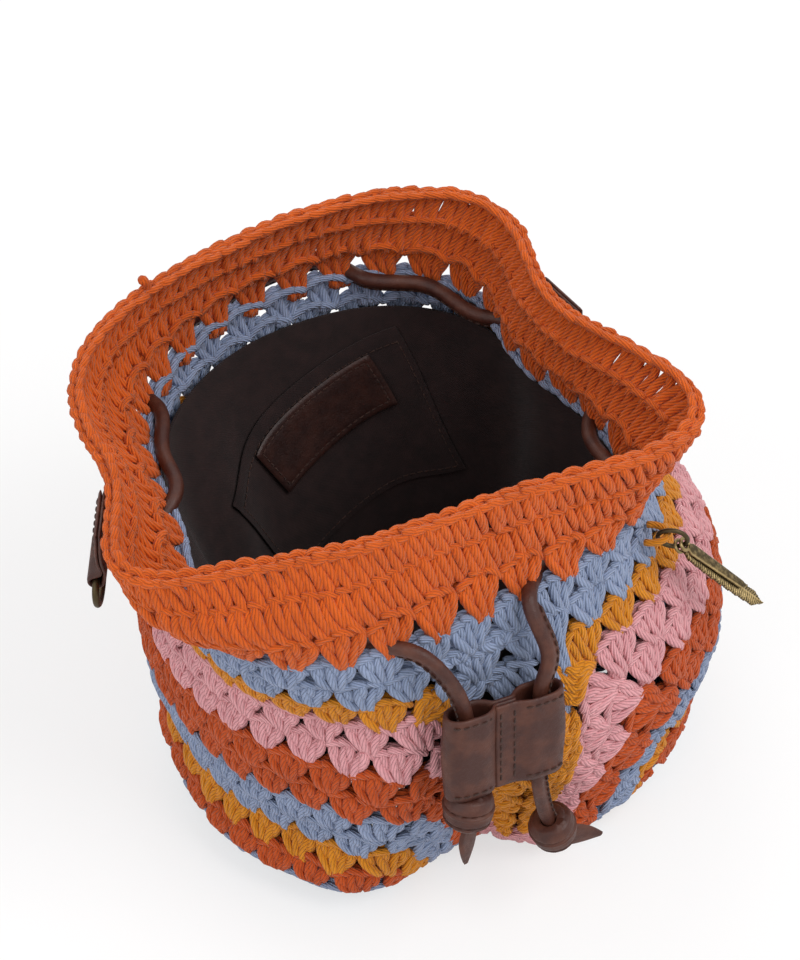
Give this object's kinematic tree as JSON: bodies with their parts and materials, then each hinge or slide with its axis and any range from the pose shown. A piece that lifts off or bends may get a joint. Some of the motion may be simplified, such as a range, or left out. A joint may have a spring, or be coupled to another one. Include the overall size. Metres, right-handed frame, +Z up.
{
  "type": "crocheted drawstring bag",
  "caption": "Small bucket bag of striped cotton crochet with a dark lining, a leather drawstring with a slider, strap tabs and brass charms, standing open and slumped.",
  "frame": {"origin": "on the ground, under the middle of the crocheted base", "axes": "+Z up, -Y towards the front, where the slider hangs, +X to the bag's right side, where the charms hang"},
  "size_m": [0.2369, 0.2119, 0.1782],
  "materials": {
    "orange_yarn": "thick cotton yarn",
    "rust_yarn": "thick cotton yarn",
    "blue_yarn": "thick cotton yarn",
    "mustard_yarn": "thick cotton yarn",
    "pink_yarn": "thick cotton yarn",
    "lining_cotton": "plain woven cotton",
    "leather": "dark brown, semi-matte",
    "brass": "antique"
  },
  "bodies": {
    "bag": {"crochet_base": "blue_yarn", "foot_band_blue": "blue_yarn", "low_band_rust": "rust_yarn", "low_band_mustard": "mustard_yarn", "low_band_blue": "blue_yarn", "middle_band_rust": "rust_yarn", "middle_band_pink": "pink_yarn", "upper_band_mustard": "mustard_yarn", "upper_band_blue": "blue_yarn", "rim_band_orange": "orange_yarn", "rim_yarn_end": "orange_yarn", "lining": "lining_cotton", "lining_pocket": "lining_cotton", "label_patch": "leather", "drawstring": "leather", "left_knot": "leather", "right_knot": "leather", "left_tail": "leather", "right_tail": "leather", "left_strap_tab": "leather", "right_strap_tab": "leather", "charm_loop": "mustard_yarn"},
    "slider": {"leather_slider": "leather"},
    "left_ring": {"left_strap_ring": "brass"},
    "right_ring": {"right_strap_ring": "brass"},
    "charm_hoop": {"charm_ring": "brass"},
    "feather": {"feather_charm": "brass"},
    "bar_charm": {"plain_charm": "brass"}
  },
  "joints": [
    {"name": "slider_slide", "type": "slide", "parent": "bag", "child": "slider", "axis": [0.0872, 0.2071, 0.9744], "range_m": [0, 0.008]},
    {"name": "left_ring_swing", "type": "hinge", "parent": "bag", "child": "left_ring", "pos_m": [-0.11636, -0.00364, 0.14292], "axis": [0.4756, 0.8797, 0], "range_deg": [0, 150]},
    {"name": "right_ring_swing", "type": "hinge", "parent": "bag", "child": "right_ring", "pos_m": [0.06964, 0.01559, 0.14954], "axis": [0.1537, -0.9881, 0], "range_deg": [0, 150]},
    {"name": "charm_hoop_swing", "type": "hinge", "parent": "bag", "child": "charm_hoop", "pos_m": [0.06161, -0.06584, 0.12657], "axis": [-0.5866, -0.7863, -0.1938], "range_deg": [0, 70]},
    {"name": "feather_swing", "type": "hinge", "parent": "charm_hoop", "child": "feather", "pos_m": [0.06571, -0.06739, 0.12042], "axis": [0.5062, -0.5428, 0.6702], "range_deg": [-25, 25]},
    {"name": "bar_charm_swing", "type": "hinge", "parent": "charm_hoop", "child": "bar_charm", "pos_m": [0.06693, -0.06869, 0.12203], "axis": [0.5062, -0.5428, 0.6702], "range_deg": [-25, 25]}
  ]
}
